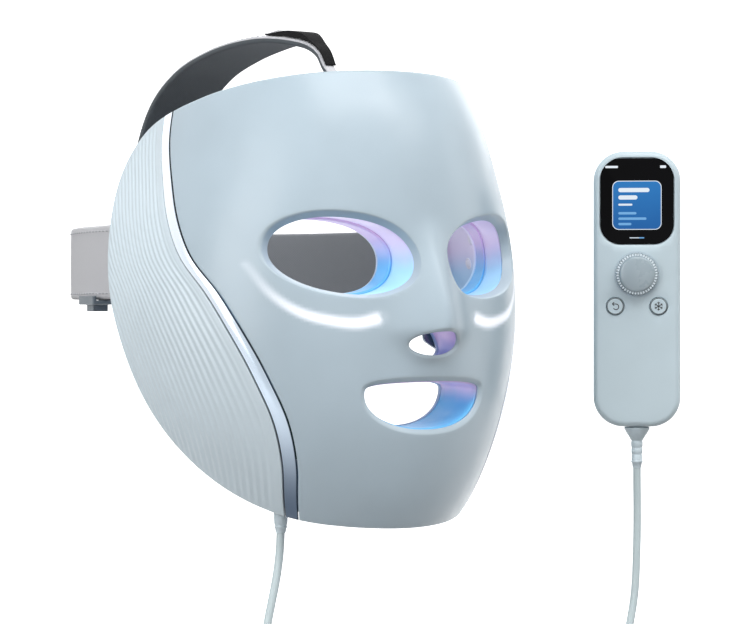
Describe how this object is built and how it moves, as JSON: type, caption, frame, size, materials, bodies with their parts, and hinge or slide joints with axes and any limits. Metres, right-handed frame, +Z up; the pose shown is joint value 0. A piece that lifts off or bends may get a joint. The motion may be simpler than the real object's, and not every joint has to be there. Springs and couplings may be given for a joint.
{
  "type": "led face mask",
  "caption": "Rigid light-therapy face mask with ribbed side panels, metal trim, head harness and a wired hand control with a dial and screen.",
  "frame": {"origin": "centre of the wearer's head, level with the eyes and the temple anchors", "axes": "-Y the way the face looks, +X to the wearer's left, +Z up"},
  "size_m": [0.2633, 0.2743, 0.3716],
  "materials": {
    "shell": "satin moulded ABS, pale grey blue",
    "panel": "ribbed satin ABS, paler than the shell",
    "trim": "polished metal",
    "liner": "frosted translucent polycarbonate",
    "sleeve": "frosted light-carrying polycarbonate",
    "gasket": "soft translucent silicone",
    "guide": "clear acrylic light guide",
    "board": "solder-masked circuit board",
    "plate": "fine brushed",
    "steel": "plated steel",
    "sink": "extruded aluminium",
    "ceramic": "white ceramic",
    "dark": "fine-textured dark plastic",
    "band": "woven elastic with a dark grey lining",
    "tab": "black hook-and-loop fabric",
    "glass": "black cover glass, polished",
    "display": "small colour display",
    "battery": "wrapped lithium cell",
    "cord": "pale soft sheath"
  },
  "bodies": {
    "mask": {"front_shell": "shell", "trim_strip_right": "trim", "side_panel_right": "panel", "trim_strip_left": "trim", "side_panel_left": "panel", "inner_liner": "liner", "eye_sleeve_right": "sleeve", "eye_gasket_right": "gasket", "eye_sleeve_left": "sleeve", "eye_gasket_left": "gasket", "mouth_sleeve": "sleeve", "nose_sleeve": "sleeve", "light_guide_right": "guide", "light_guide_left": "guide", "led_board_forehead": "board", "led_board_cheek_right": "board", "led_board_cheek_left": "board", "led_board_chin": "board", "thermoelectric_module_right": "ceramic", "heat_sink_right": "sink", "fan_frame_right": "dark", "cold_plate_right": "plate", "thermoelectric_module_left": "ceramic", "heat_sink_left": "sink", "fan_frame_left": "dark", "cold_plate_left": "plate", "driver_board": "board", "rear_band": "band", "strap_anchor_right": "dark", "strap_anchor_left": "dark", "top_band": "band", "top_tab": "tab", "top_anchor": "dark", "forehead_pad": "gasket", "handset_front": "shell", "handset_back": "shell", "handset_screw_1": "steel", "handset_screw_2": "steel", "screen_glass": "glass", "display_module": "display", "handset_board": "board", "battery_cell": "battery", "encoder_body": "dark", "charge_socket": "steel", "handset_gland": "shell", "mask_gland": "shell", "cord_mask_lead": "cord", "cord_handset_lead": "cord", "cord_coil": "cord", "cord_tie": "tab"},
    "band_slider": {"band_slider": "dark"},
    "fan_rotor_right": {"fan_rotor_right": "dark"},
    "fan_rotor_left": {"fan_rotor_left": "dark"},
    "dial_stem": {"dial_shaft": "steel"},
    "dial": {"dial_knob": "shell"},
    "back_button": {"back_button": "shell"},
    "cool_button": {"cool_button": "shell"}
  },
  "joints": [
    {"name": "band_slider_slide", "type": "slide", "parent": "mask", "child": "band_slider", "axis": [0.1132, 0.9936, 0], "range_m": [-0.006, 0.006]},
    {"name": "fan_right_spin", "type": "hinge", "parent": "mask", "child": "fan_rotor_right", "pos_m": [-0.052, -0.0577, -0.036], "axis": [-0.5592, -0.829, 0], "continuous": true},
    {"name": "fan_left_spin", "type": "hinge", "parent": "mask", "child": "fan_rotor_left", "pos_m": [0.052, -0.0577, -0.036], "axis": [0.5592, -0.829, 0], "continuous": true},
    {"name": "dial_press", "type": "slide", "parent": "mask", "child": "dial_stem", "axis": [0.6428, 0.766, 0], "range_m": [0, 0.0006], "stiffness_N_per_m": 1500, "springref_m": -0.0003},
    {"name": "dial_turn", "type": "hinge", "parent": "dial_stem", "child": "dial", "pos_m": [0.1332, -0.09345, -0.0061], "axis": [0.6428, 0.766, 0], "continuous": true},
    {"name": "back_button_press", "type": "slide", "parent": "mask", "child": "back_button", "axis": [0.6428, 0.766, 0], "range_m": [0, 0.0006], "stiffness_N_per_m": 1200, "springref_m": -0.0003},
    {"name": "cool_button_press", "type": "slide", "parent": "mask", "child": "cool_button", "axis": [0.6428, 0.766, 0], "range_m": [0, 0.0006], "stiffness_N_per_m": 1200, "springref_m": -0.0003}
  ]
}
